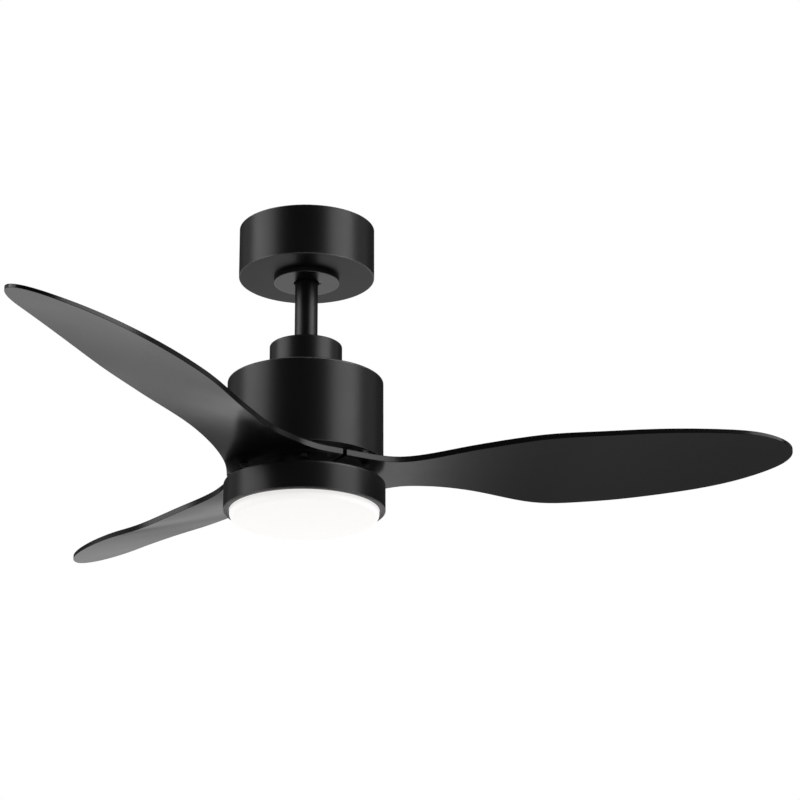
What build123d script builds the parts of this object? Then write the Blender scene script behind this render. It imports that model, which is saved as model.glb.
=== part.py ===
from build123d import *
import os
from math import cos, degrees, radians, sin, tan

os.makedirs("parts", exist_ok=True)

# A three-bladed ceiling fan with a light, hung from a ball joint on a short rod.
# Millimetres. The origin is the centre of the ceiling face, +Z is up, and one blade lies
# along +X. The blades turn clockwise seen from above, so their leading edges face -Y there.

# ---------------------------------------------------------------- clearances
fit = 0.05              # between pieces that are fixed together
run_gap = 0.3           # between pieces that move past each other
swing_room = 1.7        # round the rod, in the screw cover

# ---------------------------------------------------------------- ceiling side
canopy_r = 75.2
canopy_h = 57.3
canopy_wall = 1.2
canopy_edge_r = 0.8
canopy_hole_room = 1.5  # lets the ball pass through the canopy
cover_r = 36.2
cover_h = 5.4
cover_wall = 1.2
cover_notch_w = 3.0
cover_notch_depth = 2.2
canopy_screw_reach = 30.0
screw_r = 2.0
screw_head_r = 3.5
screw_head_h = 2.4

bracket_t = 2.0
bracket_length = 104.0
bracket_corner_r = 6.0
slot_spacing = 88.9
slot_length = 12.0
slot_r = 2.75
wire_hole_r = 6.0
wire_hole_spacing = 56.0
leg_width = 40.0
leg_room = 1.0          # between the ball and a leg
foot_width = 16.0
foot_reach = 6.5        # past the canopy screw
seat_plate_drop = 6.0   # from the ball's centre to the seat plate's top
seat_plate_width = 48.0
seat_top_drop = 5.0
seat_low_drop = 15.0
seat_mouth_room = 2.3   # each side of the rod, in the seat's open mouth
tab_width = 4.0
tab_low_drop = 13.0
tab_r = 20.0

# ---------------------------------------------------------------- ball and rod
ball_r = 24.0
ball_drop = 34.0        # from the ceiling to the ball's centre
ball_half_h = 17.0
ball_slot_width = 5.0
ball_slot_floor = 18.6
ball_pin_r = 2.5
ball_pin_rise = 9.0
ball_pin_end = 18.0
ball_screw_rise = 4.0
ball_screw_end = 21.0
rod_r = 12.7
rod_wall = 1.6
rod_top_rise = 20.0     # above the ball's centre
rod_visible = 74.9      # between the screw cover and the coupling cover

# ---------------------------------------------------------------- coupling
collar_r = 39.9
collar_h = 43.1
collar_wall = 1.2
collar_edge_r = 2.0
yoke_r = 19.0
yoke_head_room = 7.8    # from the coupling cover's top to the yoke
yoke_socket_depth = 22.0
yoke_web = 2.0
yoke_flange_r = 32.0
yoke_flange_t = 5.0
yoke_screw_ring_r = 26.0
clevis_pin_r = 3.2
clevis_pin_depth = 12.0
clevis_pin_end = 24.0
clevis_head_r = 5.0
clevis_head_t = 3.0
cotter_r = 0.9
cotter_reach = 21.5
cotter_leg = 8.0
yoke_set_screw_r = 2.5
yoke_set_screw_depth = 5.0
yoke_set_screw_end = 22.0

# ---------------------------------------------------------------- motor housing
housing_r = 85.4
housing_h = 93.2
housing_wall = 1.2
housing_roof = 2.0
housing_edge_r = 1.5
housing_lip = 2.0
housing_hole_r = 12.0
control_inner_r = 34.0
control_side_room = 6.2 # between the control box and the housing's wall
control_low_room = 15.9 # between the control box and the rotor's lid
control_arc = 290.0
control_edge_r = 2.0

# ---------------------------------------------------------------- motor
shaft_r = 7.5
shaft_bore_r = 4.5
rotor_side_room = 3.7   # between the rotor and the housing's wall
rotor_wall = 8.0
rotor_plate = 3.0
rotor_top_plate = 4.0
rotor_h = 45.0          # floor to lid
rotor_recess = 2.3      # above the housing's lower rim
magnet_t = 4.0
magnet_h = 26.0
air_gap = 1.0
bearing_r = 17.5
bearing_h = 11.0
inner_race_r = 10.8
bearing_hub_t = 4.0
bearing_lip_t = 1.0
bearing_lip_r = 14.0
bearing_drop = 2.0      # of the upper bearing, below the lid
retainer_t = 1.2
retainer_r = 10.4
sleeve_r = 11.5
stator_h = 20.0
stator_lift = 10.0      # from the rotor's floor to the stator
stator_ring_t = 12.0
tooth_count = 12
tooth_length = 25.0
tooth_width = 9.0
tooth_root = 1.0        # of a tooth, sunk in the stator's ring
tooth_tip_t = 4.0
tooth_tip_arc = 22.0
coil_t = 4.5
coil_end_room = 3.0     # at both ends of a coil
vent_count = 6
vent_r = 6.0
vent_ring_r = 42.0
rotor_screw_count = 4
rotor_screw_r = 1.5
rotor_screw_length = 12.0
rotor_screw_head_r = 3.0
rotor_screw_head_h = 1.5
boss_r = 5.0
boss_inset = 0.5        # from the rotor's side
gasket_t = 1.0

# ---------------------------------------------------------------- blades
blade_count = 3
sweep_r = 533.4
blade_gap = 6.0         # from the housing's lower rim to the blade roots
root_t = 6.4
root_hole_r = 30.0
root_inset = 1.0        # inside the housing's side
root_split = 4.6        # between neighbouring root plates
root_turn = 0.9         # turns the split towards the trailing side, in degrees
neck_r = 106.7          # where the root plate becomes the blade
blade_screw_angle = 30.0
blade_screw_inner_r = 48.0
blade_screw_room = 0.15     # between a blade's underside and its screw heads
camber = 2.0
flat_bow = 0.005        # share of the camber that is left in the flat root
neck_bow = 0.5          # share of the camber just past the neck
crown = 1.6             # extra thickness at mid chord
flat_end_r = 72.0       # the root is flat as far as this
slab_margin = 14.0
section_count = 24

# Stations along a blade, from the neck to the tip in equal steps: the leading edge and the
# trailing edge from the blade's axis, the height of the mid chord above the root's underside,
# the pitch in degrees, and the thickness at the edges.
stations = [
    (42.0, -46.8, 2.1, -0.5, 6.4),
    (38.4, -52.3, 7.1, 9.4, 5.6),
    (45.5, -72.7, 8.0, 15.3, 4.9),
    (45.1, -82.0, 13.0, 15.1, 4.5),
    (40.1, -77.9, 18.9, 15.6, 4.0),
    (32.2, -62.6, 24.0, 16.1, 3.1),
    (-8.3, -8.3, 27.8, 15.9, 1.9),
]
near_tip = (0.934, 21.7, -42.5)   # share of the blade's span, leading and trailing edge

# ---------------------------------------------------------------- light
kit_gap = 10.4           # from the blade roots to the light
kit_overhang = 2.2      # past the housing
kit_h = 30.9
kit_wall = 1.5
kit_roof = 1.2
kit_edge_r = 2.0
kit_chamfer = 0.7
kit_rim_width = 2.9
kit_rim_t = 1.2
kit_hole_r = 16.0
plate_r = 62.0
plate_t = 2.0
plate_wire_r = 6.0
plate_wire_ring_r = 26.0
pan_screw_ring_r = 50.0
pan_screw_count = 3
nut_flats = 22.0
nut_h = 5.4
upper_nut_h = 2.7
shaft_tail = 3.0        # below the lower nut
trim_recess = 0.5
trim_t = 1.2
trim_wall = 2.0
trim_h = 8.0
trim_lip_width = 3.1
diffuser_t = 2.0
diffuser_gap = 0.4
diffuser_flange_t = 1.5
diffuser_side = 3.1     # straight wall below the light's rim
diffuser_corner_r = 6.4
diffuser_slope = 4.3    # of the dome at its edge, in degrees
board_inset = 17.6
board_t = 1.6
board_drop = 12.2
post_r = 3.0
post_ring_r = 58.0
led_size = 3.0
led_h = 0.8
led_ring_step = 25.0
led_ring_count = 2
led_step_count = 8      # more chips in each ring than in the one inside it
driver_length = 44.0
driver_width = 26.0
driver_h = 9.0
driver_offset = 28.0

# ---------------------------------------------------------------- heights, from the ceiling down
canopy_floor_z = -(canopy_h - canopy_wall)
canopy_low_z = -canopy_h
cover_low_z = canopy_low_z - cover_h
ball_z = -ball_drop
rod_top_z = ball_z + rod_top_rise
collar_top_z = cover_low_z - rod_visible
housing_top_z = collar_top_z - collar_h
housing_low_z = housing_top_z - housing_h
root_top_z = housing_low_z - blade_gap
root_low_z = root_top_z - root_t
kit_top_z = root_low_z - kit_gap
kit_low_z = kit_top_z - kit_h

yoke_top_z = collar_top_z - yoke_head_room
rod_low_z = yoke_top_z - yoke_socket_depth
shaft_top_z = rod_low_z - yoke_web
clevis_z = yoke_top_z - clevis_pin_depth
roof_low_z = housing_top_z - housing_roof
rotor_low_z = housing_low_z + rotor_recess
rotor_top_z = rotor_low_z + rotor_h
lid_low_z = rotor_top_z - rotor_top_plate
low_bearing_z = rotor_low_z
top_bearing_z = lid_low_z - bearing_drop
stator_low_z = rotor_low_z + rotor_plate + stator_lift
stator_mid_z = stator_low_z + stator_h / 2
boss_low_z = root_top_z + gasket_t
plate_low_z = kit_top_z
plate_top_z = plate_low_z + plate_t
roof_inner_z = kit_top_z - kit_roof
board_top_z = roof_inner_z - board_drop
shaft_low_z = plate_low_z - nut_h - shaft_tail

# ---------------------------------------------------------------- radii that follow
canopy_hole_r = ball_r + canopy_hole_room
cover_hole_r = rod_r + swing_room
rotor_r = housing_r - housing_wall - rotor_side_room
control_outer_r = housing_r - housing_wall - control_side_room
control_h = housing_h - housing_roof - control_low_room - rotor_h - rotor_recess
leg_inner_y = ball_r + leg_room
seat_r = ball_r + run_gap
magnet_outer_r = rotor_r - rotor_wall
magnet_inner_r = magnet_outer_r - magnet_t
stator_r = magnet_inner_r - air_gap
stator_yoke_r = stator_r - tooth_length
stator_hub_r = stator_yoke_r - stator_ring_t
coil_start_r = stator_yoke_r + coil_end_room
coil_end_r = stator_r - tooth_tip_t - coil_end_room
hub_r = bearing_r + bearing_hub_t
rotor_screw_ring_r = rotor_r - rotor_wall / 2
root_r = housing_r - root_inset
blade_screw_ring_r = rotor_r - boss_inset - boss_r
kit_r = housing_r + kit_overhang
trim_lip_r = kit_r - kit_rim_width - diffuser_gap
diffuser_r = trim_lip_r - trim_lip_width - diffuser_gap
board_r = kit_r - board_inset


def polar(radius, angle):
    """A point on the XY plane from its radius and its angle in degrees."""
    return (radius * cos(radians(angle)), radius * sin(radians(angle)))


# ================================================================ ceiling side
# Hanger bracket: a slotted ceiling plate, two legs with tapped feet for the canopy, and a
# round seat for the ball with a mouth on one side that lets the rod in.
with BuildPart() as hanger_bracket:
    with BuildSketch(Plane.XY.offset(-bracket_t)):
        RectangleRounded(bracket_length, 2 * (leg_inner_y + bracket_t), bracket_corner_r)
        with GridLocations(slot_spacing, 0, 2, 1):
            SlotOverall(slot_length, 2 * slot_r, mode=Mode.SUBTRACT)
        with GridLocations(wire_hole_spacing, 0, 2, 1):
            Circle(wire_hole_r, mode=Mode.SUBTRACT)
    extrude(amount=bracket_t)
    for side in (1, -1):
        leg_y = side * (leg_inner_y + bracket_t / 2)
        with BuildSketch(Plane.XY.offset(canopy_floor_z)):
            with Locations((0, leg_y)):
                Rectangle(leg_width, bracket_t)
        extrude(amount=-canopy_floor_z)
        foot_end = canopy_screw_reach + foot_reach
        with BuildSketch(Plane.XY.offset(canopy_floor_z)):
            with Locations((0, side * (leg_inner_y + foot_end) / 2)):
                Rectangle(foot_width, foot_end - leg_inner_y)
            with Locations((0, side * canopy_screw_reach)):
                Circle(screw_r + fit, mode=Mode.SUBTRACT)
        extrude(amount=bracket_t)
    with BuildSketch(Plane.XY.offset(ball_z - seat_plate_drop - bracket_t)):
        Rectangle(seat_plate_width, 2 * leg_inner_y)
        Circle(seat_r, mode=Mode.SUBTRACT)
    extrude(amount=bracket_t)
    with BuildSketch(Plane.XZ):
        with Locations((0, ball_z)):
            Circle(seat_r + bracket_t)
            Circle(seat_r, mode=Mode.SUBTRACT)
        with Locations((seat_r, ball_z - (seat_top_drop + seat_low_drop) / 2)):
            Rectangle(2 * seat_r, seat_low_drop - seat_top_drop, mode=Mode.INTERSECT)
    revolve(axis=Axis.Z)
    with BuildSketch(Plane.XY.offset(ball_z - seat_low_drop - bracket_t)):
        with Locations((seat_r, 0)):
            Rectangle(2 * seat_r, 2 * (rod_r + seat_mouth_room))
    extrude(amount=seat_low_drop, mode=Mode.SUBTRACT)
    tab_outer = seat_r + bracket_t / 2
    with BuildSketch(Plane.XY.offset(ball_z - tab_low_drop)):
        with Locations((-(tab_r + tab_outer) / 2, 0)):
            Rectangle(tab_outer - tab_r, tab_width)
    extrude(amount=tab_low_drop - seat_plate_drop)
hanger_bracket.part.label = "hanger_bracket"
export_step(hanger_bracket.part, "parts/hanger_bracket.step")

# Canopy: a drawn steel cup, open at the ceiling, with a hole that the ball can pass through.
with BuildPart() as canopy:
    with BuildSketch(Plane.XY.offset(canopy_low_z)):
        Circle(canopy_r)
    extrude(amount=canopy_h)
    fillet(canopy.faces().sort_by(Axis.Z)[0].edges(), canopy_edge_r)
    with BuildSketch(Plane.XY.offset(canopy_floor_z)):
        Circle(canopy_r - canopy_wall)
    extrude(amount=canopy_h, mode=Mode.SUBTRACT)
    with BuildSketch(Plane.XY.offset(canopy_low_z)):
        Circle(canopy_hole_r)
        with GridLocations(0, 2 * canopy_screw_reach, 1, 2):
            Circle(screw_r + run_gap)
    extrude(amount=canopy_wall, mode=Mode.SUBTRACT)
canopy.part.label = "canopy"
export_step(canopy.part, "parts/canopy.step")

# Two screws hold the canopy to the bracket's feet.
with BuildPart() as canopy_screws:
    with BuildSketch(Plane.XY.offset(canopy_low_z - screw_head_h)):
        with GridLocations(0, 2 * canopy_screw_reach, 1, 2):
            Circle(screw_head_r)
    extrude(amount=screw_head_h)
    with BuildSketch(Plane.XY.offset(canopy_low_z)):
        with GridLocations(0, 2 * canopy_screw_reach, 1, 2):
            Circle(screw_r)
    extrude(amount=canopy_wall + bracket_t + screw_r)
canopy_screws.part.label = "canopy_screws"
export_step(canopy_screws.part, "parts/canopy_screws.step")

# Screw cover: a shallow cup under the canopy that hides the screws and guides the rod. A
# notch in its hole's edge lets it snap over the rod.
with BuildPart() as screw_cover:
    with BuildSketch(Plane.XY.offset(cover_low_z)):
        Circle(cover_r)
        Circle(cover_hole_r, mode=Mode.SUBTRACT)
        with Locations((cover_hole_r + cover_notch_depth / 2 - fit, 0)):
            Rectangle(cover_notch_depth, cover_notch_w, mode=Mode.SUBTRACT)
    extrude(amount=cover_h)
    with BuildSketch(Plane.XY.offset(cover_low_z + cover_wall)):
        Circle(cover_r - cover_wall)
    extrude(amount=cover_h, mode=Mode.SUBTRACT)
screw_cover.part.label = "screw_cover"
export_step(screw_cover.part, "parts/screw_cover.step")

# ================================================================ ball and rod
# Hanger ball: truncated above and below, bored for the rod, with a slot that the bracket's
# tab enters so that the rod can't turn.
with BuildPart() as hanger_ball:
    with BuildSketch(Plane.XZ):
        with Locations((0, ball_z)):
            Circle(ball_r)
            Rectangle(2 * ball_r, 2 * ball_half_h, mode=Mode.INTERSECT)
        with Locations((ball_r, ball_z)):
            Rectangle(2 * (ball_r - rod_r - fit), 2 * ball_half_h, mode=Mode.INTERSECT)
    revolve(axis=Axis.Z)
    slot_depth = ball_r - ball_slot_floor
    with BuildSketch(Plane.XY.offset(ball_z - ball_half_h)):
        with Locations((-(ball_slot_floor + slot_depth / 2), 0)):
            Rectangle(slot_depth, ball_slot_width)
    extrude(amount=ball_half_h, mode=Mode.SUBTRACT)
    with BuildSketch(Plane.XZ):
        with Locations((0, ball_z + ball_pin_rise)):
            Circle(ball_pin_r + fit)
    extrude(amount=ball_r, both=True, mode=Mode.SUBTRACT)
    with BuildSketch(Plane.YZ):
        with Locations((0, ball_z + ball_screw_rise)):
            Circle(ball_pin_r + fit)
    extrude(amount=ball_r, mode=Mode.SUBTRACT)
hanger_ball.part.label = "hanger_ball"
export_step(hanger_ball.part, "parts/hanger_ball.step")

# The cross pin carries the rod in the ball.
with BuildPart() as ball_pin:
    with BuildSketch(Plane.XZ):
        with Locations((0, ball_z + ball_pin_rise)):
            Circle(ball_pin_r)
    extrude(amount=ball_pin_end, both=True)
ball_pin.part.label = "ball_pin"
export_step(ball_pin.part, "parts/ball_pin.step")

# A set screw keeps the ball tight on the rod.
with BuildPart() as ball_set_screw:
    with BuildSketch(Plane.YZ.offset(rod_r)):
        with Locations((0, ball_z + ball_screw_rise)):
            Circle(ball_pin_r)
    extrude(amount=ball_screw_end - rod_r)
ball_set_screw.part.label = "ball_set_screw"
export_step(ball_set_screw.part, "parts/ball_set_screw.step")

# Downrod: a steel tube with a cross hole at each end.
with BuildPart() as downrod:
    with BuildSketch(Plane.XY.offset(rod_low_z)):
        Circle(rod_r)
        Circle(rod_r - rod_wall, mode=Mode.SUBTRACT)
    extrude(amount=rod_top_z - rod_low_z)
    with BuildSketch(Plane.XZ):
        with Locations((0, ball_z + ball_pin_rise)):
            Circle(ball_pin_r + fit)
    extrude(amount=rod_r, both=True, mode=Mode.SUBTRACT)
    with BuildSketch(Plane.YZ):
        with Locations((0, clevis_z)):
            Circle(clevis_pin_r + fit)
    extrude(amount=rod_r, both=True, mode=Mode.SUBTRACT)
downrod.part.label = "downrod"
export_step(downrod.part, "parts/downrod.step")

# ================================================================ coupling
# Yoke: takes the rod in its socket and the motor shaft below, and bolts to the housing.
with BuildPart() as yoke:
    with BuildSketch(Plane.XY.offset(housing_top_z)):
        Circle(yoke_flange_r)
    extrude(amount=yoke_flange_t)
    with BuildSketch(Plane.XY.offset(housing_top_z)):
        Circle(yoke_r)
    extrude(amount=yoke_top_z - housing_top_z)
    with BuildSketch(Plane.XY.offset(rod_low_z)):
        Circle(rod_r + fit)
    extrude(amount=yoke_socket_depth, mode=Mode.SUBTRACT)
    with BuildSketch(Plane.XY.offset(housing_top_z)):
        Circle(shaft_r + fit)
    extrude(amount=shaft_top_z - housing_top_z, mode=Mode.SUBTRACT)
    with BuildSketch(Plane.XY.offset(shaft_top_z)):
        Circle(shaft_bore_r)
    extrude(amount=yoke_web, mode=Mode.SUBTRACT)
    with BuildSketch(Plane.YZ):
        with Locations((0, clevis_z)):
            Circle(clevis_pin_r + fit)
    extrude(amount=yoke_r, both=True, mode=Mode.SUBTRACT)
    with BuildSketch(Plane.XZ):
        with Locations((0, yoke_top_z - yoke_set_screw_depth)):
            Circle(yoke_set_screw_r + fit)
    extrude(amount=yoke_r, both=True, mode=Mode.SUBTRACT)
    with BuildSketch(Plane.XY.offset(housing_top_z)):
        with PolarLocations(yoke_screw_ring_r, 3):
            Circle(screw_r + fit)
    extrude(amount=yoke_flange_t, mode=Mode.SUBTRACT)
yoke.part.label = "yoke"
export_step(yoke.part, "parts/yoke.step")

# Clevis pin: runs through the yoke and the rod, with a head and a hole for its cotter.
with BuildPart() as clevis_pin:
    with BuildSketch(Plane.YZ.offset(-yoke_r)):
        with Locations((0, clevis_z)):
            Circle(clevis_pin_r)
    extrude(amount=yoke_r + clevis_pin_end)
    with BuildSketch(Plane.YZ.offset(-yoke_r - clevis_head_t)):
        with Locations((0, clevis_z)):
            Circle(clevis_head_r)
    extrude(amount=clevis_head_t)
    with BuildSketch(Plane.XY.offset(clevis_z)):
        with Locations((cotter_reach, 0)):
            Circle(cotter_r + fit)
    extrude(amount=clevis_pin_r, both=True, mode=Mode.SUBTRACT)
clevis_pin.part.label = "clevis_pin"
export_step(clevis_pin.part, "parts/clevis_pin.step")

# Cotter: a bent wire, one leg through the clevis pin and the other beside it.
cotter_step = clevis_pin_r + 2 * cotter_r
with BuildPart() as cotter:
    with BuildLine():
        leg = Line((cotter_reach, 0, clevis_z + cotter_leg), (cotter_reach, 0, clevis_z - cotter_leg))
        bend = ThreePointArc(
            leg @ 1,
            (cotter_reach, cotter_step / 2, clevis_z - cotter_leg - cotter_step / 2),
            (cotter_reach, cotter_step, clevis_z - cotter_leg),
        )
        Line(bend @ 1, (cotter_reach, cotter_step, clevis_z + cotter_leg))
    with BuildSketch(Plane(origin=leg @ 0, z_dir=(0, 0, -1))):
        Circle(cotter_r)
    sweep()
cotter.part.label = "cotter"
export_step(cotter.part, "parts/cotter.step")

# Two set screws steady the rod in the yoke.
with BuildPart() as yoke_set_screws:
    for side in (1, -1):
        with BuildSketch(Plane.XZ.offset(side * rod_r)):
            with Locations((0, yoke_top_z - yoke_set_screw_depth)):
                Circle(yoke_set_screw_r)
        extrude(amount=side * (yoke_set_screw_end - rod_r))
yoke_set_screws.part.label = "yoke_set_screws"
export_step(yoke_set_screws.part, "parts/yoke_set_screws.step")

# Three screws through the yoke's flange carry the housing.
with BuildPart() as yoke_screws:
    with BuildSketch(Plane.XY.offset(housing_top_z + yoke_flange_t)):
        with PolarLocations(yoke_screw_ring_r, 3):
            Circle(screw_head_r)
    extrude(amount=screw_head_h)
    with BuildSketch(Plane.XY.offset(roof_low_z - screw_r)):
        with PolarLocations(yoke_screw_ring_r, 3):
            Circle(screw_r)
    extrude(amount=yoke_flange_t + housing_roof + screw_r)
yoke_screws.part.label = "yoke_screws"
export_step(yoke_screws.part, "parts/yoke_screws.step")

# Coupling cover: an upturned cup that slides down the rod over the yoke.
with BuildPart() as coupling_cover:
    with BuildSketch(Plane.XY.offset(housing_top_z)):
        Circle(collar_r)
    extrude(amount=collar_h)
    fillet(coupling_cover.faces().sort_by(Axis.Z)[-1].edges(), collar_edge_r)
    with BuildSketch(Plane.XY.offset(housing_top_z)):
        Circle(collar_r - collar_wall)
    extrude(amount=collar_h - collar_wall, mode=Mode.SUBTRACT)
    fillet(
        coupling_cover.faces().filter_by(Plane.XY).sort_by(Axis.Z)[-2].edges(),
        max(collar_edge_r - collar_wall, fit),
    )
    with BuildSketch(Plane.XY.offset(housing_top_z)):
        Circle(rod_r + fit)
    extrude(amount=collar_h, mode=Mode.SUBTRACT)
coupling_cover.part.label = "coupling_cover"
export_step(coupling_cover.part, "parts/coupling_cover.step")

# ================================================================ motor housing
# Housing: a drawn shell over the motor, open below, with a small turned-in lip at its rim.
with BuildPart() as housing:
    with BuildSketch(Plane.XY.offset(housing_low_z)):
        Circle(housing_r)
    extrude(amount=housing_h)
    fillet(housing.faces().sort_by(Axis.Z)[-1].edges(), housing_edge_r)
    with BuildSketch(Plane.XY.offset(housing_low_z)):
        Circle(housing_r - housing_wall - housing_lip)
    extrude(amount=housing_wall, mode=Mode.SUBTRACT)
    with BuildSketch(Plane.XY.offset(housing_low_z + housing_wall)):
        Circle(housing_r - housing_wall)
    extrude(amount=housing_h - housing_wall - housing_roof, mode=Mode.SUBTRACT)
    with BuildSketch(Plane.XY.offset(roof_low_z)):
        Circle(housing_hole_r)
        with PolarLocations(yoke_screw_ring_r, 3):
            Circle(screw_r + fit)
    extrude(amount=housing_roof, mode=Mode.SUBTRACT)
housing.part.label = "housing"
export_step(housing.part, "parts/housing.step")

# Control box: the motor's electronics in a ring-shaped case under the housing's roof.
with BuildPart() as control_box:
    with BuildSketch(Plane.XZ):
        with Locations(((control_inner_r + control_outer_r) / 2, roof_low_z - control_h / 2)):
            RectangleRounded(control_outer_r - control_inner_r, control_h, control_edge_r)
    revolve(axis=Axis.Z, revolution_arc=control_arc)
control_box.part.label = "control_box"
export_step(control_box.part, "parts/control_box.step")

# ================================================================ motor, fixed side
# Hollow shaft: from the yoke down through the motor to the light, with the wires' bore.
with BuildPart() as motor_shaft:
    with BuildSketch(Plane.XY.offset(shaft_low_z)):
        Circle(shaft_r)
        Circle(shaft_bore_r, mode=Mode.SUBTRACT)
    extrude(amount=shaft_top_z - shaft_low_z)
motor_shaft.part.label = "motor_shaft"
export_step(motor_shaft.part, "parts/motor_shaft.step")

# Stator hub: a wheel on the shaft whose sleeve spaces the two bearings.
with BuildPart() as stator_hub:
    with BuildSketch(Plane.XY.offset(low_bearing_z + bearing_h)):
        Circle(sleeve_r)
    extrude(amount=top_bearing_z - low_bearing_z - bearing_h)
    with BuildSketch(Plane.XY.offset(stator_low_z)):
        Circle(stator_hub_r - fit)
    extrude(amount=stator_h)
    with BuildSketch(Plane.XY.offset(low_bearing_z)):
        Circle(shaft_r + fit)
    extrude(amount=rotor_h, mode=Mode.SUBTRACT)
stator_hub.part.label = "stator_hub"
export_step(stator_hub.part, "parts/stator_hub.step")

# Stator core: a lamination stack with T-shaped teeth that face outwards.
with BuildPart() as stator_core:
    with BuildSketch(Plane.XY.offset(stator_low_z)):
        Circle(stator_yoke_r)
        with PolarLocations(stator_yoke_r - tooth_root + tooth_length / 2, tooth_count):
            Rectangle(tooth_length, tooth_width)
        for index in range(tooth_count):
            middle = index * 360 / tooth_count
            with BuildLine():
                outer = CenterArc((0, 0), stator_r, middle - tooth_tip_arc / 2, tooth_tip_arc)
                inner = CenterArc(
                    (0, 0), stator_r - tooth_tip_t, middle - tooth_tip_arc / 2, tooth_tip_arc
                )
                Line(outer @ 0, inner @ 0)
                Line(outer @ 1, inner @ 1)
            make_face()
        Circle(stator_hub_r, mode=Mode.SUBTRACT)
    extrude(amount=stator_h)
stator_core.part.label = "stator_core"
export_step(stator_core.part, "parts/stator_core.step")

# Windings: one square-cornered coil round each tooth.
with BuildPart() as windings:
    for index in range(tooth_count):
        tooth = Plane.XY.rotated((0, 0, index * 360 / tooth_count))
        coil_plane = Plane(
            origin=tooth.x_dir * coil_start_r + Vector(0, 0, stator_mid_z),
            x_dir=tooth.y_dir,
            z_dir=tooth.x_dir,
        )
        with BuildSketch(coil_plane):
            Rectangle(tooth_width + 2 * coil_t, stator_h + 2 * coil_t)
            Rectangle(tooth_width + 2 * fit, stator_h + 2 * fit, mode=Mode.SUBTRACT)
        extrude(amount=coil_end_r - coil_start_r)
windings.part.label = "windings"
export_step(windings.part, "parts/windings.step")

# Inner races of the two bearings, on the shaft.
with BuildPart() as inner_races:
    for race_z in (low_bearing_z, top_bearing_z):
        with BuildSketch(Plane.XY.offset(race_z)):
            Circle(inner_race_r)
            Circle(shaft_r + fit, mode=Mode.SUBTRACT)
        extrude(amount=bearing_h)
inner_races.part.label = "inner_races"
export_step(inner_races.part, "parts/inner_races.step")

# Retaining ring: carries the lower bearing, and so the rotor.
with BuildPart() as retaining_ring:
    with BuildSketch(Plane.XY.offset(low_bearing_z - retainer_t)):
        Circle(retainer_r)
        Circle(shaft_r + fit, mode=Mode.SUBTRACT)
    extrude(amount=retainer_t)
retaining_ring.part.label = "retaining_ring"
export_step(retaining_ring.part, "parts/retaining_ring.step")

# ================================================================ rotor
# The screws of one blade, as radius and angle from the blade's axis.
blade_screws_at = [
    (blade_screw_ring_r, blade_screw_angle),
    (blade_screw_ring_r, -blade_screw_angle),
    (blade_screw_inner_r, 0),
]
all_blade_screws = [
    polar(radius, angle + turn * 360 / blade_count)
    for turn in range(blade_count)
    for radius, angle in blade_screws_at
]

# Rotor case: a cast cup with the lower bearing's hub and a tapped boss at each blade screw.
with BuildPart() as rotor_case:
    with BuildSketch(Plane.XY.offset(rotor_low_z)):
        Circle(rotor_r)
    extrude(amount=rotor_h - rotor_top_plate)
    with BuildSketch(Plane.XY.offset(rotor_low_z + rotor_plate)):
        Circle(magnet_outer_r)
        Circle(hub_r, mode=Mode.SUBTRACT)
    extrude(amount=rotor_h, mode=Mode.SUBTRACT)
    with BuildSketch(Plane.XY.offset(low_bearing_z + bearing_h + bearing_lip_t)):
        Circle(hub_r)
    extrude(amount=rotor_h, mode=Mode.SUBTRACT)
    with BuildSketch(Plane.XY.offset(low_bearing_z)):
        Circle(bearing_r + fit)
    extrude(amount=bearing_h, mode=Mode.SUBTRACT)
    with BuildSketch(Plane.XY.offset(low_bearing_z)):
        Circle(bearing_lip_r)
    extrude(amount=rotor_h, mode=Mode.SUBTRACT)
    with BuildSketch(Plane.XY.offset(boss_low_z)):
        with Locations(*all_blade_screws):
            Circle(boss_r)
    extrude(amount=rotor_low_z - boss_low_z)
    with BuildSketch(Plane.XY.offset(boss_low_z)):
        with Locations(*all_blade_screws):
            Circle(screw_r + fit)
    extrude(amount=rotor_low_z - boss_low_z + rotor_plate / 2, mode=Mode.SUBTRACT)
    with BuildSketch(Plane.XY.offset(lid_low_z)):
        with PolarLocations(rotor_screw_ring_r, rotor_screw_count):
            Circle(rotor_screw_r + fit)
    extrude(amount=-rotor_screw_length, mode=Mode.SUBTRACT)
rotor_case.part.label = "rotor_case"
export_step(rotor_case.part, "parts/rotor_case.step")

# Rotor lid: closes the case, holds the upper bearing and has vents in a ring.
with BuildPart() as rotor_lid:
    with BuildSketch(Plane.XY.offset(lid_low_z)):
        Circle(rotor_r)
        with PolarLocations(vent_ring_r, vent_count):
            Circle(vent_r, mode=Mode.SUBTRACT)
        with PolarLocations(rotor_screw_ring_r, rotor_screw_count):
            Circle(rotor_screw_r + fit, mode=Mode.SUBTRACT)
    extrude(amount=rotor_top_plate)
    with BuildSketch(Plane.XY.offset(top_bearing_z)):
        Circle(hub_r)
    extrude(amount=bearing_h + bearing_lip_t)
    with BuildSketch(Plane.XY.offset(top_bearing_z)):
        Circle(bearing_r + fit)
    extrude(amount=bearing_h, mode=Mode.SUBTRACT)
    with BuildSketch(Plane.XY.offset(top_bearing_z)):
        Circle(bearing_lip_r)
    extrude(amount=rotor_h, mode=Mode.SUBTRACT)
rotor_lid.part.label = "rotor_lid"
export_step(rotor_lid.part, "parts/rotor_lid.step")

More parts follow.
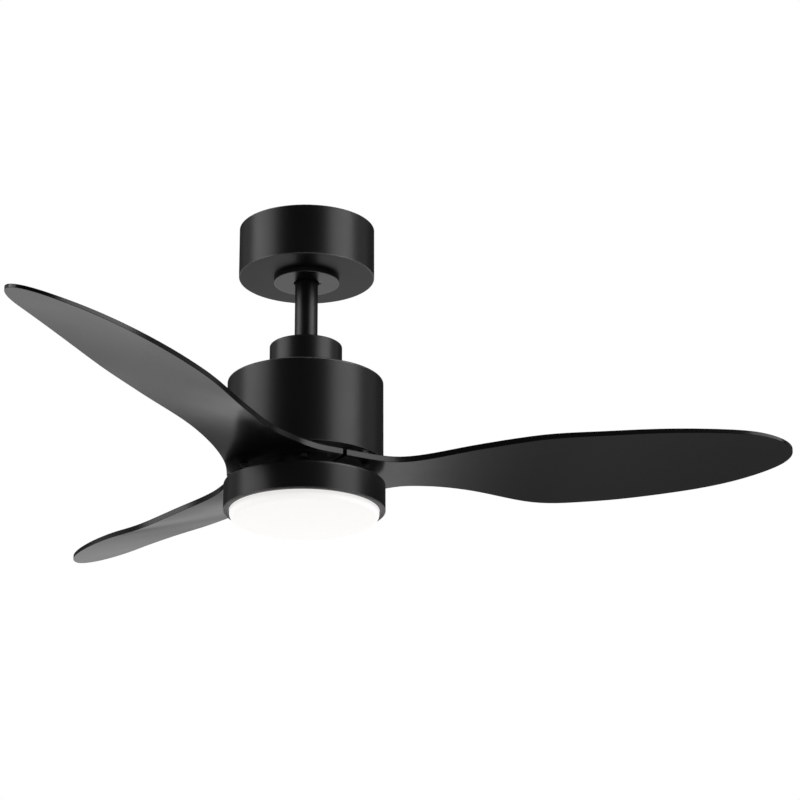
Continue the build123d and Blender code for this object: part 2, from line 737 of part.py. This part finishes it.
# Screws that hold the lid to the case.
with BuildPart() as rotor_screws:
    with BuildSketch(Plane.XY.offset(rotor_top_z)):
        with PolarLocations(rotor_screw_ring_r, rotor_screw_count):
            Circle(rotor_screw_head_r)
    extrude(amount=rotor_screw_head_h)
    with BuildSketch(Plane.XY.offset(rotor_top_z)):
        with PolarLocations(rotor_screw_ring_r, rotor_screw_count):
            Circle(rotor_screw_r)
    extrude(amount=-rotor_screw_length)
rotor_screws.part.label = "rotor_screws"
export_step(rotor_screws.part, "parts/rotor_screws.step")

# Magnet ring: glued inside the case, round the stator.
with BuildPart() as magnet_ring:
    with BuildSketch(Plane.XY.offset(stator_mid_z - magnet_h / 2)):
        Circle(magnet_outer_r - fit)
        Circle(magnet_inner_r, mode=Mode.SUBTRACT)
    extrude(amount=magnet_h)
magnet_ring.part.label = "magnet_ring"
export_step(magnet_ring.part, "parts/magnet_ring.step")

# Outer races of the bearings, with their balls and seals, which run on the inner races.
with BuildPart() as outer_races:
    for race_z in (low_bearing_z, top_bearing_z):
        with BuildSketch(Plane.XY.offset(race_z)):
            Circle(bearing_r)
            Circle(inner_race_r + run_gap, mode=Mode.SUBTRACT)
        extrude(amount=bearing_h)
outer_races.part.label = "outer_races"
export_step(outer_races.part, "parts/outer_races.step")

# Rubber washers between the bosses and the blades.
with BuildPart() as blade_gaskets:
    with BuildSketch(Plane.XY.offset(root_top_z + fit)):
        with Locations(*all_blade_screws):
            Circle(boss_r)
            Circle(screw_r + run_gap, mode=Mode.SUBTRACT)
    extrude(amount=gasket_t - fit)
blade_gaskets.part.label = "blade_gaskets"
export_step(blade_gaskets.part, "parts/blade_gaskets.step")

# Blade screws, from below, with pan heads.
with BuildPart() as blade_screws:
    with BuildSketch(Plane.XY.offset(root_low_z - blade_screw_room)):
        with Locations(*all_blade_screws):
            Circle(screw_head_r)
    extrude(amount=-screw_head_h, taper=10)
    with BuildSketch(Plane.XY.offset(root_low_z - blade_screw_room)):
        with Locations(*all_blade_screws):
            Circle(screw_r)
    extrude(amount=rotor_low_z - root_low_z + blade_screw_room)
blade_screws.part.label = "blade_screws"
export_step(blade_screws.part, "parts/blade_screws.step")


# ================================================================ blades
# A blade is a twisted, cambered slab, lofted through sections across its axis, and cut to
# its outline from above, so its edges stand upright. Its root is a flat third of a ring.
span = sweep_r - neck_r
at = [neck_r + span * index / (len(stations) - 1) for index in range(len(stations))]
slab_half = max(max(lead, -trail) for lead, trail, _, _, _ in stations) + slab_margin


def curve_at(distance, values):
    """The height of a smooth curve through the stations, level at the root's flat end."""
    knots = [flat_end_r] + at
    count = len(knots)
    slopes = [0] + [
        (values[min(i + 1, count - 1)] - values[i - 1]) / (knots[min(i + 1, count - 1)] - knots[i - 1])
        for i in range(1, count)
    ]
    if distance <= flat_end_r:
        return values[0]
    left = max(i for i in range(count - 1) if knots[i] < distance)
    width = knots[left + 1] - knots[left]
    t = (distance - knots[left]) / width
    start = (1 + 2 * t) * (1 - t) ** 2 * values[left] + t * (1 - t) ** 2 * width * slopes[left]
    end = t * t * (3 - 2 * t) * values[left + 1] - t * t * (1 - t) * width * slopes[left + 1]
    return start + end


mids = [0] + [(lead + trail) / 2 for lead, trail, _, _, _ in stations]
heights = [0] + [row[2] for row in stations]
pitches = [0] + [row[3] for row in stations]
edges = [root_t] + [row[4] for row in stations]
bows = [0, 0, neck_bow] + [1] * (len(stations) - 2)


def section(distance):
    """A section across the blade's axis, with a cambered underside and a crowned top."""
    pitch = radians(curve_at(distance, pitches))
    edge_t = curve_at(distance, edges)
    bow = flat_bow + curve_at(distance, bows)
    rise = 2 * bow * camber
    top = edge_t + 2 * bow * (camber + crown)
    across = Plane(
        origin=(distance, -curve_at(distance, mids), root_low_z + curve_at(distance, heights)),
        x_dir=(0, -cos(pitch), sin(pitch)),
        z_dir=(-1, 0, 0),
    )
    with BuildSketch(across) as made:
        with BuildLine():
            Bezier((-slab_half, 0), (0, rise), (slab_half, 0))
            Line((slab_half, 0), (slab_half, edge_t))
            Bezier((slab_half, edge_t), (0, top), (-slab_half, edge_t))
            Line((-slab_half, edge_t), (-slab_half, 0))
        make_face()
    return made.sketch


step = span / section_count
first = -round(neck_r / step)
with BuildPart() as blade:
    loft(sections=[section(neck_r + step * index) for index in range(first, section_count + 2)])
    lead_angle = 180 / blade_count - root_turn - degrees(root_split / 2 / root_r)
    trail_angle = 180 / blade_count + root_turn - degrees(root_split / 2 / root_r)
    tip = (sweep_r, -stations[-1][0])
    tip_near = neck_r + span * near_tip[0]
    lead_points = [(x, -row[0]) for x, row in zip(at[:-1], stations)] + [(tip_near, -near_tip[1])]
    trail_points = [(x, -row[1]) for x, row in zip(at[:-1], stations)] + [(tip_near, -near_tip[2])]
    with BuildSketch(Plane.XY.offset(root_low_z - max(heights))):
        with BuildLine():
            for way, angle, points in ((-1, lead_angle, lead_points), (1, trail_angle, trail_points)):
                Line(polar(root_hole_r, way * angle), polar(root_r, way * angle))
                Spline(
                    polar(root_r, way * angle),
                    *points,
                    tip,
                    tangents=[polar(1, way * (angle - 90)), (0, -way)],
                    tangent_scalars=[1, 1],
                )
            ThreePointArc(
                polar(root_hole_r, -lead_angle),
                (root_hole_r, 0),
                polar(root_hole_r, trail_angle),
            )
        make_face()
        with Locations(*[polar(radius, angle) for radius, angle in blade_screws_at]):
            Circle(screw_r + run_gap, mode=Mode.SUBTRACT)
    extrude(amount=max(heights) + slab_half, mode=Mode.INTERSECT)

for turn in range(blade_count):
    with BuildPart() as turned:
        add(blade.part, rotation=(0, 0, turn * 360 / blade_count))
    turned.part.label = f"blade_{turn + 1}"
    export_step(turned.part, f"parts/blade_{turn + 1}.step")

# ================================================================ light
# Plate nuts: clamp the light's plate on the shaft, one above and one below.
with BuildPart() as plate_nuts:
    for nut_z, height in ((plate_top_z, upper_nut_h), (plate_low_z, -nut_h)):
        with BuildSketch(Plane.XY.offset(nut_z)):
            RegularPolygon(nut_flats / 2, 6, major_radius=False)
            Circle(shaft_r + fit, mode=Mode.SUBTRACT)
        extrude(amount=height)
plate_nuts.part.label = "plate_nuts"
export_step(plate_nuts.part, "parts/plate_nuts.step")

# Light plate: a stamped disc on the shaft that carries the light.
with BuildPart() as light_plate:
    with BuildSketch(Plane.XY.offset(plate_low_z)):
        Circle(plate_r)
        Circle(shaft_r + fit, mode=Mode.SUBTRACT)
        with PolarLocations(plate_wire_ring_r, 2, start_angle=90):
            Circle(plate_wire_r, mode=Mode.SUBTRACT)
        with PolarLocations(pan_screw_ring_r, pan_screw_count, start_angle=60):
            Circle(screw_r + fit, mode=Mode.SUBTRACT)
    extrude(amount=plate_t)
light_plate.part.label = "light_plate"
export_step(light_plate.part, "parts/light_plate.step")

# Light pan: the black drum of the light, open below, with a turned-in rim.
with BuildPart() as light_pan:
    with BuildSketch(Plane.XY.offset(kit_low_z)):
        Circle(kit_r)
    extrude(amount=kit_h)
    fillet(light_pan.faces().sort_by(Axis.Z)[-1].edges(), kit_edge_r)
    chamfer(light_pan.faces().sort_by(Axis.Z)[0].edges(), kit_chamfer)
    with BuildSketch(Plane.XY.offset(kit_low_z)):
        Circle(kit_r - kit_rim_width)
    extrude(amount=kit_rim_t, mode=Mode.SUBTRACT)
    with BuildSketch(Plane.XY.offset(kit_low_z + kit_rim_t)):
        Circle(kit_r - kit_wall)
    extrude(amount=kit_h - kit_rim_t - kit_roof, mode=Mode.SUBTRACT)
    with BuildSketch(Plane.XY.offset(roof_inner_z)):
        Circle(kit_hole_r)
        with PolarLocations(pan_screw_ring_r, pan_screw_count, start_angle=60):
            Circle(screw_r + fit)
    extrude(amount=kit_roof, mode=Mode.SUBTRACT)
light_pan.part.label = "light_pan"
export_step(light_pan.part, "parts/light_pan.step")

# Screws that hold the pan to the plate, from inside the pan.
with BuildPart() as pan_screws:
    with BuildSketch(Plane.XY.offset(roof_inner_z - screw_head_h)):
        with PolarLocations(pan_screw_ring_r, pan_screw_count, start_angle=60):
            Circle(screw_head_r)
    extrude(amount=screw_head_h)
    with BuildSketch(Plane.XY.offset(roof_inner_z)):
        with PolarLocations(pan_screw_ring_r, pan_screw_count, start_angle=60):
            Circle(screw_r)
    extrude(amount=kit_roof + plate_t + screw_r / 2)
pan_screws.part.label = "pan_screws"
export_step(pan_screws.part, "parts/pan_screws.step")

# Trim ring: sits in the pan on its rim, and carries the diffuser by its flange.
trim_low_z = kit_low_z + trim_recess
trim_shelf_z = kit_low_z + kit_rim_t + trim_t / 2
trim_outer_r = kit_r - kit_wall - fit
with BuildPart() as trim_ring:
    with BuildSketch(Plane.XZ):
        with BuildLine():
            Polyline(
                (diffuser_r + diffuser_gap, trim_low_z),
                (trim_lip_r, trim_low_z),
                (trim_lip_r, kit_low_z + kit_rim_t),
                (trim_outer_r, kit_low_z + kit_rim_t),
                (trim_outer_r, kit_low_z + kit_rim_t + trim_h),
                (trim_outer_r - trim_wall, kit_low_z + kit_rim_t + trim_h),
                (trim_outer_r - trim_wall, trim_shelf_z),
                (diffuser_r + diffuser_gap, trim_shelf_z),
                close=True,
            )
        make_face()
    revolve(axis=Axis.Z)
trim_ring.part.label = "trim_ring"
export_step(trim_ring.part, "parts/trim_ring.step")

# Diffuser: an opal bowl with a flange, a short upright wall, a round corner and a low dome.
slope = radians(diffuser_slope)
corner_z = kit_low_z - diffuser_side
corner_x = diffuser_r - diffuser_corner_r
inner_corner_r = diffuser_corner_r - diffuser_t


def dome_points(radius):
    """The corner arc's lower end and the dome's lowest point, for a corner of this radius."""
    edge = (corner_x + radius * sin(slope), corner_z - radius * cos(slope))
    return edge, (0, edge[1] - edge[0] * tan(slope / 2))


flange_r = trim_outer_r - trim_wall - diffuser_gap
flange_z = trim_shelf_z + diffuser_flange_t
with BuildPart() as diffuser:
    with BuildSketch(Plane.XZ):
        with BuildLine():
            edge, low = dome_points(diffuser_corner_r)
            inner_edge, inner_low = dome_points(inner_corner_r)
            TangentArc(low, edge, tangent=(1, 0))
            TangentArc(edge, (diffuser_r, corner_z), tangent=(cos(slope), sin(slope)))
            Polyline(
                (diffuser_r, corner_z),
                (diffuser_r, trim_shelf_z),
                (flange_r, trim_shelf_z),
                (flange_r, flange_z),
                (diffuser_r - diffuser_t, flange_z),
                (diffuser_r - diffuser_t, corner_z),
            )
            TangentArc(inner_edge, (diffuser_r - diffuser_t, corner_z), tangent=(cos(slope), sin(slope)))
            TangentArc(inner_low, inner_edge, tangent=(1, 0))
            Line(inner_low, low)
        make_face()
    revolve(axis=Axis.Z)
diffuser.part.label = "diffuser"
export_step(diffuser.part, "parts/diffuser.step")

# Posts that hold the lamp board under the pan's roof.
with BuildPart() as board_posts:
    with BuildSketch(Plane.XY.offset(board_top_z)):
        with PolarLocations(post_ring_r, pan_screw_count):
            Circle(post_r)
    extrude(amount=board_drop)
board_posts.part.label = "board_posts"
export_step(board_posts.part, "parts/board_posts.step")

# Lamp board: an aluminium disc.
with BuildPart() as led_board:
    with BuildSketch(Plane.XY.offset(board_top_z - board_t)):
        Circle(board_r)
    extrude(amount=board_t)
led_board.part.label = "led_board"
export_step(led_board.part, "parts/led_board.step")

# Lamp chips in rings under the board.
with BuildPart() as led_chips:
    with BuildSketch(Plane.XY.offset(board_top_z - board_t - led_h)):
        for ring in range(1, led_ring_count + 1):
            with PolarLocations(ring * led_ring_step, ring * led_step_count):
                Rectangle(led_size, led_size)
    extrude(amount=led_h)
led_chips.part.label = "led_chips"
export_step(led_chips.part, "parts/led_chips.step")

# Lamp driver: a small case on the board.
with BuildPart() as led_driver:
    with BuildSketch(Plane.XY.offset(board_top_z)):
        with Locations((driver_offset, 0)):
            RectangleRounded(driver_width, driver_length, control_edge_r)
    extrude(amount=driver_h)
led_driver.part.label = "led_driver"
export_step(led_driver.part, "parts/led_driver.step")
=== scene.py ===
from math import cos, radians, sin

import bpy
from mathutils import Matrix, Vector


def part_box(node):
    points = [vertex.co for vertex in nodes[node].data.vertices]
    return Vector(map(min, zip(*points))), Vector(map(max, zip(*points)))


# A black three-bladed ceiling fan with a lit opal light, hung in the air before white.
# Metres, in the CAD part's own frame: the origin is on the ceiling and +Z is up.

# ---------------------------------------------------------------- camera
camera_place = (0.0390, -2.6217, -1.1210)
camera_yaw = radians(1.409)         # to the right of +Y
camera_pitch = radians(19.362)      # upwards
camera_roll = radians(-0.186)
camera_lens = 114.23                # mm, as is the sensor's width
sensor_width = 36.0

camera_data = bpy.data.cameras.new("camera")
camera_data.lens = camera_lens
camera_data.sensor_width = sensor_width
camera = bpy.data.objects.new("camera", camera_data)
bpy.context.scene.collection.objects.link(camera)
camera.matrix_world = (
    Matrix.Translation(camera_place)
    @ Matrix.Rotation(-camera_yaw, 4, "Z")
    @ Matrix.Rotation(radians(90) + camera_pitch, 4, "X")
    @ Matrix.Rotation(camera_roll, 4, "Z")
)
bpy.context.scene.camera = camera
bpy.context.scene.view_settings.view_transform = "Standard"

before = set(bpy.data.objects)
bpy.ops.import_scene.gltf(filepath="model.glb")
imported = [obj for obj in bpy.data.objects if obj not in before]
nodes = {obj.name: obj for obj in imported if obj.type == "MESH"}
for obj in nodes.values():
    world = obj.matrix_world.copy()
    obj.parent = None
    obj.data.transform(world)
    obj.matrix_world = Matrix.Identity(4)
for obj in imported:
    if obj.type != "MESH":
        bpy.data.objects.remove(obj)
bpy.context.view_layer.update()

# ---------------------------------------------------------------- surface values
# Texture scales, per metre.
paint_cloud = 30.0
paint_peel = 700.0
paint_grain = 2600.0
metal_cloud = 60.0
cast_grain = 900.0
mould_grain = 900.0
ring_scale = 500.0      # marks of turning
sheet_scale = 320.0     # core sheets
wire_scale = 250.0      # turns of wire

# Heights of the relief.
fine_relief = 0.0001
skin_relief = 0.0002
deep_relief = 0.0003

# Strengths of the relief.
peel_strength = 0.12
grain_strength = 0.05
ring_strength = 0.06
cast_strength = 0.35
mould_strength = 0.15
sheet_strength = 0.5
wire_strength = 0.8

# How far the roughness goes below and above a material's own.
paint_spread = (0.02, 0.02)
turned_spread = (0.06, 0.08)
cast_spread = (0.08, 0.08)
plain_spread = (0.05, 0.05)

# Share of a material's colour in its dark places.
cast_dark = 0.8
layer_dark = 0.5
mould_dark = 0.9

# Edges: radii, the cosine of the turn that counts as an edge, and the gloss there.
small_edge = 0.0003
blade_edge = 0.0009
paint_edge = 0.0012
edge_turn = 0.97
bright_edge = 1.0
dull_edge = 0.03

# The lit diffuser.
opal_colour = (0.2, 0.198, 0.194)
opal_light = (1.0, 0.99, 0.975)
opal_roughness = 0.35
opal_gloss = 0.02
opal_glow = 0.80
opal_rim_glow = 0.72
opal_lit_share = 0.92   # of the radius, inside which the glow is even


# ---------------------------------------------------------------- materials
def add(tree, kind, **inputs):
    """A node with some of its inputs set, each named with _ for a space."""
    node = tree.nodes.new(kind)
    for name, value in inputs.items():
        node.inputs[name.replace("_", " ")].default_value = value
    return node


def add_math(tree, kind, operation):
    """A Math or Vector Math node."""
    node = tree.nodes.new(kind)
    node.operation = operation
    return node


def link(tree, start, end):
    tree.links.new(start, end)


def new_material(name, colour, roughness, metallic=0.0, gloss=0.5):
    """A Principled material: itself, its tree, its shader and its piece's own coordinates."""
    material = bpy.data.materials.new(name)
    material.use_nodes = True
    tree = material.node_tree
    shader = tree.nodes["Principled BSDF"]
    shader.inputs["Base Color"].default_value = (*colour, 1.0)
    shader.inputs["Roughness"].default_value = roughness
    shader.inputs["Metallic"].default_value = metallic
    shader.inputs["Specular IOR Level"].default_value = gloss
    place = tree.nodes.new("ShaderNodeTexCoord").outputs["Object"]
    return material, tree, shader, place


def noise(tree, place, scale, detail=3.0):
    node = add(tree, "ShaderNodeTexNoise", Scale=scale, Detail=detail)
    link(tree, place, node.inputs["Vector"])
    return node.outputs["Fac"]


def vary_roughness(tree, shader, factor, roughness, spread):
    """Runs the roughness with a factor, from below a value to above it."""
    below, above = spread
    level = add(tree, "ShaderNodeMapRange", To_Min=roughness - below, To_Max=roughness + above)
    link(tree, factor, level.inputs["Value"])
    link(tree, level.outputs["Result"], shader.inputs["Roughness"])


def vary_colour(tree, shader, factor, colour, dark):
    """Runs the base colour with a factor, from a dark share of a colour to the whole of it."""
    mix = add(tree, "ShaderNodeMix")
    mix.data_type = "RGBA"
    low_in, high_in = (socket for socket in mix.inputs if socket.type == "RGBA")
    (colour_out,) = (socket for socket in mix.outputs if socket.type == "RGBA")
    low_in.default_value = (*(dark * value for value in colour), 1.0)
    high_in.default_value = (*colour, 1.0)
    link(tree, factor, mix.inputs["Factor"])
    link(tree, colour_out, shader.inputs["Base Color"])


def raise_bump(tree, shader, factor, strength, distance, under=None):
    """A bump from a height, over the normal of an earlier bump or of a rounded edge."""
    bump = add(tree, "ShaderNodeBump", Strength=strength, Distance=distance)
    link(tree, factor, bump.inputs["Height"])
    if under is not None:
        link(tree, under, bump.inputs["Normal"])
    link(tree, bump.outputs["Normal"], shader.inputs["Normal"])
    return bump.outputs["Normal"]


def round_edge(tree, radius):
    """The normal of edges rounded by a radius."""
    return add(tree, "ShaderNodeBevel", Radius=radius).outputs["Normal"]


def gleam_edge(tree, shader, rounded, gloss, edge_gloss):
    """Its own gloss where the rounded normal leaves the face's: paint lies thin on an edge."""
    turn = add_math(tree, "ShaderNodeVectorMath", "DOT_PRODUCT")
    link(tree, rounded, turn.inputs[0])
    link(tree, tree.nodes.new("ShaderNodeNewGeometry").outputs["Normal"], turn.inputs[1])
    level = add(tree, "ShaderNodeMapRange", From_Min=edge_turn, To_Min=edge_gloss, To_Max=gloss)
    link(tree, turn.outputs["Value"], level.inputs["Value"])
    link(tree, level.outputs["Result"], shader.inputs["Specular IOR Level"])


def paint(name, colour, roughness, gloss, edge, edge_gloss=bright_edge):
    """Baked satin paint or moulded plastic: a fine pebble, broad cloudy gloss and soft edges."""
    material, tree, shader, place = new_material(name, colour, roughness, gloss=gloss)
    cloud = noise(tree, place, paint_cloud, detail=2.0)
    vary_roughness(tree, shader, cloud, roughness, paint_spread)
    rounded = round_edge(tree, edge)
    gleam_edge(tree, shader, rounded, gloss, edge_gloss)
    peel = noise(tree, place, paint_peel)
    soft = raise_bump(tree, shader, peel, peel_strength, skin_relief, rounded)
    grain = noise(tree, place, paint_grain)
    raise_bump(tree, shader, grain, grain_strength, fine_relief, soft)
    return material


def turned_metal(name, colour, roughness):
    """Bare metal with faint rings round the part's axis, as turning and pressing leave them."""
    material, tree, shader, place = new_material(name, colour, roughness, metallic=1.0)
    rings = add(tree, "ShaderNodeTexWave", Scale=ring_scale, Distortion=2.0, Detail=2.0)
    rings.wave_type = "RINGS"
    rings.rings_direction = "Z"
    link(tree, place, rings.inputs["Vector"])
    vary_roughness(tree, shader, noise(tree, place, metal_cloud), roughness, turned_spread)
    rounded = round_edge(tree, small_edge)
    raise_bump(tree, shader, rings.outputs["Fac"], ring_strength, fine_relief, rounded)
    return material


def cast(name, colour, roughness):
    """Die-cast metal: a coarse skin with light and dark patches."""
    material, tree, shader, place = new_material(name, colour, roughness, metallic=1.0)
    patches = noise(tree, place, metal_cloud)
    vary_colour(tree, shader, patches, colour, cast_dark)
    vary_roughness(tree, shader, patches, roughness, cast_spread)
    grain = noise(tree, place, cast_grain)
    raise_bump(tree, shader, grain, cast_strength, deep_relief, round_edge(tree, small_edge))
    return material


def stacked(name, colour, roughness, scale, strength):
    """Metal sheets or turns of wire that lie one on another up the part's axis."""
    material, tree, shader, place = new_material(name, colour, roughness, metallic=1.0)
    layers = add(tree, "ShaderNodeTexWave", Scale=scale)
    layers.bands_direction = "Z"
    link(tree, place, layers.inputs["Vector"])
    vary_colour(tree, shader, layers.outputs["Fac"], colour, layer_dark)
    vary_roughness(tree, shader, noise(tree, place, metal_cloud), roughness, plain_spread)
    raise_bump(tree, shader, layers.outputs["Fac"], strength, deep_relief)
    return material


def plain(name, colour, roughness):
    """Moulded or coated material with a fine grain and a little colour change."""
    material, tree, shader, place = new_material(name, colour, roughness)
    cloud = noise(tree, place, metal_cloud)
    vary_colour(tree, shader, cloud, colour, mould_dark)
    vary_roughness(tree, shader, cloud, roughness, plain_spread)
    grain = noise(tree, place, mould_grain)
    raise_bump(tree, shader, grain, mould_strength, skin_relief, round_edge(tree, small_edge))
    return material


def opal_plastic(name):
    """Frosted acrylic lit from behind: a little dimmer at its rim, which the lamps don't reach."""
    material, tree, shader, place = new_material(
        name, opal_colour, opal_roughness, gloss=opal_gloss
    )
    level = add_math(tree, "ShaderNodeVectorMath", "MULTIPLY")
    level.inputs[1].default_value = (1.0, 1.0, 0.0)
    link(tree, place, level.inputs[0])
    reach = add_math(tree, "ShaderNodeVectorMath", "LENGTH")
    link(tree, level.outputs["Vector"], reach.inputs[0])
    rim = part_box("diffuser")[1][0]
    fall = add(
        tree, "ShaderNodeMapRange",
        From_Min=opal_lit_share * rim, From_Max=rim, To_Min=opal_glow, To_Max=opal_rim_glow,
    )
    fall.interpolation_type = "SMOOTHSTEP"
    link(tree, reach.outputs["Value"], fall.inputs["Value"])
    shader.inputs["Emission Color"].default_value = (*opal_light, 1.0)
    link(tree, fall.outputs["Result"], shader.inputs["Emission Strength"])
    vary_roughness(tree, shader, noise(tree, place, paint_cloud), opal_roughness, paint_spread)
    raise_bump(tree, shader, noise(tree, place, paint_grain), grain_strength, fine_relief)
    return material


# Each has a colour and a roughness, and a paint also has a gloss and an edge radius.
body_black = paint("body_black", (0.0016, 0.0016, 0.0017), 0.37, 0.105, paint_edge)
pan_black = paint("pan_black", (0.003, 0.003, 0.0031), 0.34, 0.08, paint_edge)
cover_black = paint("cover_black", (0.0046, 0.0046, 0.0049), 0.30, 0.32, paint_edge)
blade_black = paint(
    "blade_black", (0.0022, 0.0022, 0.0023), 0.21, 0.075, blade_edge, dull_edge
)
rim_black = paint("rim_black", (0.014, 0.014, 0.0145), 0.4, 0.3, small_edge)
black_steel = paint("black_steel", (0.002, 0.002, 0.002), 0.3, 0.1, small_edge)
dark_plastic = plain("dark_plastic", (0.02, 0.02, 0.021), 0.5)
magnet = plain("magnet", (0.05, 0.05, 0.052), 0.6)
rubber = plain("rubber", (0.12, 0.12, 0.12), 0.7)
board_white = plain("board_white", (0.8, 0.8, 0.8), 0.5)
lamp_yellow = plain("lamp_yellow", (0.8, 0.62, 0.1), 0.4)
bare_steel = turned_metal("bare_steel", (0.55, 0.55, 0.56), 0.32)
cast_metal = cast("cast_metal", (0.5, 0.5, 0.5), 0.5)
core_sheet = stacked("core_sheet", (0.25, 0.25, 0.26), 0.45, sheet_scale, sheet_strength)
copper = stacked("copper", (0.7, 0.3, 0.16), 0.35, wire_scale, wire_strength)
opal = opal_plastic("opal")

finishes = {
    body_black: ("canopy", "downrod", "coupling_cover", "housing"),
    pan_black: ("light_pan",),
    cover_black: ("screw_cover",),
    blade_black: ("blade_1", "blade_2", "blade_3"),
    rim_black: ("trim_ring",),
    black_steel: ("blade_screws",),
    dark_plastic: ("hanger_ball", "control_box", "led_driver"),
    magnet: ("magnet_ring",),
    rubber: ("blade_gaskets",),
    board_white: ("led_board",),
    lamp_yellow: ("led_chips",),
    bare_steel: (
        "hanger_bracket", "canopy_screws", "ball_pin", "ball_set_screw", "clevis_pin", "cotter",
        "yoke_set_screws", "yoke_screws", "motor_shaft", "inner_races", "retaining_ring",
        "plate_nuts", "light_plate", "pan_screws", "board_posts", "rotor_screws", "outer_races",
    ),
    cast_metal: ("yoke", "stator_hub", "rotor_case", "rotor_lid"),
    core_sheet: ("stator_core",),
    copper: ("windings",),
    opal: ("diffuser",),
}
for material, names in finishes.items():
    for name in names:
        nodes[name].data.materials.clear()
        nodes[name].data.materials.append(material)

# ---------------------------------------------------------------- stage
floor_drop = 2.4
floor_reach = 30.0
floor_colour = (0.8, 0.8, 0.8, 1.0)
floor_roughness = 0.9
white = (1.0, 1.0, 1.0, 1.0)
room_level = 0.07       # of the world, above the horizon
horizon_fade = 0.16     # height over which the world dims, as a share of the way


def seen_switch(tree, glossy_share=None):
    """1 for rays that show the background: camera, transmission and, by a share, glossy rays."""
    path = tree.nodes.new("ShaderNodeLightPath")
    glossy = path.outputs["Is Glossy Ray"]
    if glossy_share is not None:
        shared = add_math(tree, "ShaderNodeMath", "MULTIPLY")
        link(tree, glossy, shared.inputs[0])
        link(tree, glossy_share, shared.inputs[1])
        glossy = shared.outputs[0]
    seen = path.outputs["Is Camera Ray"]
    for other in (path.outputs["Is Transmission Ray"], glossy):
        more = add_math(tree, "ShaderNodeMath", "MAXIMUM")
        link(tree, seen, more.inputs[0])
        link(tree, other, more.inputs[1])
        seen = more.outputs[0]
    return seen


# The floor is pale and takes the object's shadow, and is white where it is seen or mirrored.
bpy.ops.mesh.primitive_plane_add(size=2 * floor_reach, location=(0, 0, -floor_drop))
floor = bpy.context.object
floor.name = "floor"
floor_material = bpy.data.materials.new("floor_white")
floor_material.use_nodes = True
floor_tree = floor_material.node_tree
pale = floor_tree.nodes["Principled BSDF"]
pale.inputs["Base Color"].default_value = floor_colour
pale.inputs["Roughness"].default_value = floor_roughness
glow = add(floor_tree, "ShaderNodeEmission", Strength=1.0)
either = floor_tree.nodes.new("ShaderNodeMixShader")
link(floor_tree, seen_switch(floor_tree), either.inputs["Fac"])
link(floor_tree, pale.outputs["BSDF"], either.inputs[1])
link(floor_tree, glow.outputs["Emission"], either.inputs[2])
floor_out = floor_tree.nodes["Material Output"]
link(floor_tree, either.outputs["Shader"], floor_out.inputs["Surface"])
floor.data.materials.append(floor_material)

# The world is white where it is seen. It is mirrored white as high as the horizon, with a dim
# room above, and gives the object a little light from all sides.
world = bpy.data.worlds.new("world")
bpy.context.scene.world = world
world.use_nodes = True
sky = world.node_tree
back = sky.nodes["Background"]
back.inputs["Color"].default_value = white
way = sky.nodes.new("ShaderNodeSeparateXYZ")
link(sky, sky.nodes.new("ShaderNodeTexCoord").outputs["Generated"], way.inputs["Vector"])
low = add(sky, "ShaderNodeMapRange", From_Max=horizon_fade, To_Min=1.0, To_Max=0.0)
link(sky, way.outputs["Z"], low.inputs["Value"])
sky_level = add(sky, "ShaderNodeMapRange", To_Min=room_level)
link(sky, seen_switch(sky, low.outputs["Result"]), sky_level.inputs["Value"])
link(sky, sky_level.outputs["Result"], back.inputs["Strength"])

# Soft boxes stand round the object at one distance and height, each turned from the camera's
# side by an angle. The edge boxes are weak and stand further back.
middle = (0.0, 0.0, -0.16)
box_reach = 3.0
box_height = 1.05
box_tall = 1.6
boxes = (
    # name, side, angle, width, power in watts
    ("left_box", -1, 77.0, 2.5, 122.0),
    ("right_box", 1, 61.0, 2.4, 166.0),
    ("left_edge_box", -1, 122.0, 1.6, 4.0),
    ("right_edge_box", 1, 108.0, 1.6, 7.0),
)
top_place = (0.0, 0.4, 2.4)
top_width = 2.0
top_power = 60.0


def softbox(name, place, width, height, power):
    """A soft rectangular lamp that faces the object and that the camera doesn't see."""
    data = bpy.data.lights.new(name, "AREA")
    data.shape = "RECTANGLE"
    data.size = width
    data.size_y = height
    data.energy = power
    lamp = bpy.data.objects.new(name, data)
    bpy.context.scene.collection.objects.link(lamp)
    lamp.location = place
    lamp.rotation_euler = (Vector(middle) - Vector(place)).to_track_quat("-Z", "Y").to_euler()
    lamp.visible_camera = False


for name, side, angle, width, power in boxes:
    turn = radians(angle)
    place = (side * box_reach * sin(turn), -box_reach * cos(turn), box_height)
    softbox(name, place, width, box_tall, power)
softbox("top_box", top_place, top_width, top_width, top_power)
